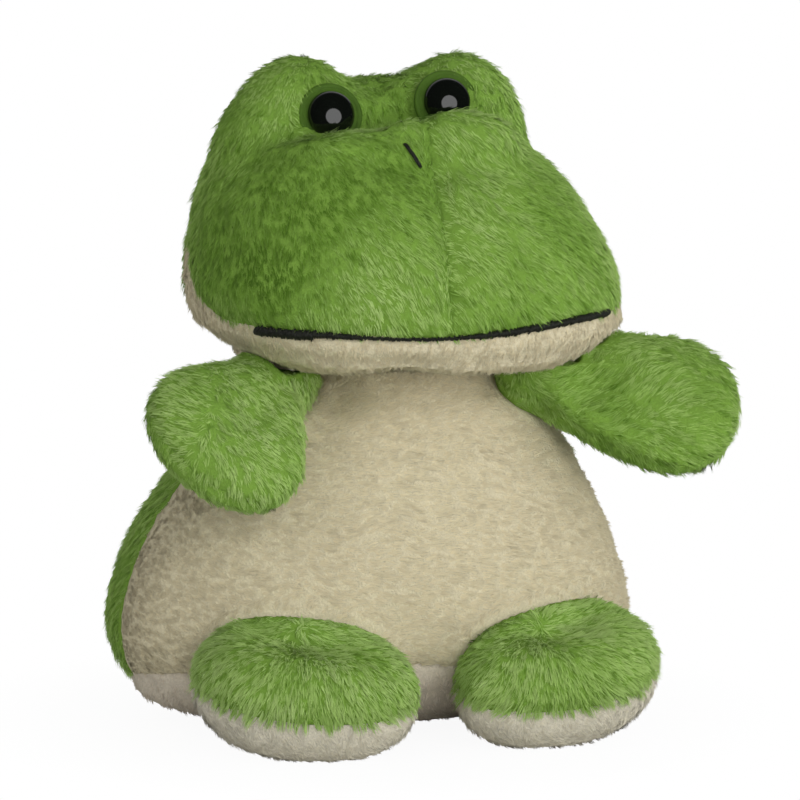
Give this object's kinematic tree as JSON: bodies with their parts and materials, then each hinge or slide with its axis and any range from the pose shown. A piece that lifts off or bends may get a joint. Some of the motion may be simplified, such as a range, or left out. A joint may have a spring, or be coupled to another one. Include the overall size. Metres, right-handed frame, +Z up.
{
  "type": "plush frog",
  "caption": "Seated bean-bag frog soft toy with a wide snout, safety eyes on two bumps, paddle arms, flat feet and a pellet-weighted seat.",
  "frame": {"origin": "middle of the seat's flat, on the floor plane under the body", "axes": "+Z up, the toy faces -Y, its own left side is at +X"},
  "size_m": [0.1329, 0.0979, 0.1437],
  "materials": {
    "green_plush": "short plush pile, matte",
    "cream_plush": "short plush pile, matte",
    "seat_plush": "short plush pile, flattened, matte",
    "fibre_fill": "loose polyester fibre",
    "pouch_cloth": "plain woven lining",
    "pellets": "loose smooth pellets",
    "green_plastic": "moulded, semi-matte",
    "black_plastic": "moulded, polished",
    "washer_plastic": "moulded, plain",
    "black_thread": "satin stitched thread",
    "green_thread": "polyester thread"
  },
  "bodies": {
    "torso": {"body_stuffing": "fibre_fill", "seat_panel": "seat_plush", "belly_panel": "cream_plush", "back_panel_left": "green_plush", "back_panel_right": "green_plush", "pouch_upper": "pouch_cloth", "pouch_lower": "pouch_cloth", "pellet_fill": "pellets", "closing_stitches": "green_thread"},
    "neck": {"neck_thread": "green_thread"},
    "head": {"head_stuffing": "fibre_fill", "chin_panel": "cream_plush", "head_back_panel": "green_plush", "face_panel_left": "green_plush", "face_panel_right": "green_plush", "left_eye_iris": "green_plastic", "left_eye_pupil": "black_plastic", "left_eye_washer": "washer_plastic", "right_eye_iris": "green_plastic", "right_eye_pupil": "black_plastic", "right_eye_washer": "washer_plastic", "mouth_stitching": "black_thread", "nostril_left": "black_thread", "nostril_right": "black_thread"},
    "right_arm": {"right_arm_stuffing": "fibre_fill", "right_arm_front": "green_plush", "right_arm_rear": "green_plush"},
    "left_arm": {"left_arm_stuffing": "fibre_fill", "left_arm_front": "green_plush", "left_arm_rear": "green_plush"},
    "right_foot": {"right_foot_stuffing": "fibre_fill", "right_foot_upper": "green_plush", "right_foot_sole": "seat_plush"},
    "left_foot": {"left_foot_stuffing": "fibre_fill", "left_foot_upper": "green_plush", "left_foot_sole": "seat_plush"}
  },
  "joints": [
    {"name": "head_nod", "type": "hinge", "parent": "torso", "child": "neck", "pos_m": [0.0065, 0, 0.06], "axis": [-1, 0, 0], "range_deg": [0, 12], "stiffness_Nm_per_rad": 0.2},
    {"name": "head_turn", "type": "hinge", "parent": "neck", "child": "head", "pos_m": [0.0065, 0, 0.06], "axis": [0, 0, 1], "range_deg": [-5, 5], "stiffness_Nm_per_rad": 0.15},
    {"name": "right_shoulder", "type": "hinge", "parent": "torso", "child": "right_arm", "pos_m": [-0.02382, -0.01599, 0.07576], "axis": [0, 0, -1], "range_deg": [0, 30], "stiffness_Nm_per_rad": 0.01},
    {"name": "left_shoulder", "type": "hinge", "parent": "torso", "child": "left_arm", "pos_m": [0.03434, -0.01779, 0.07507], "axis": [0, 0, -1], "range_deg": [-20, 20], "stiffness_Nm_per_rad": 0.01},
    {"name": "right_ankle", "type": "hinge", "parent": "torso", "child": "right_foot", "pos_m": [-0.0235, -0.036, 0.029], "axis": [-0.9397, 0.342, 0], "range_deg": [0, 20], "stiffness_Nm_per_rad": 0.02},
    {"name": "left_ankle", "type": "hinge", "parent": "torso", "child": "left_foot", "pos_m": [0.031, -0.036, 0.029], "axis": [-0.9397, -0.342, 0], "range_deg": [0, 20], "stiffness_Nm_per_rad": 0.02}
  ]
}
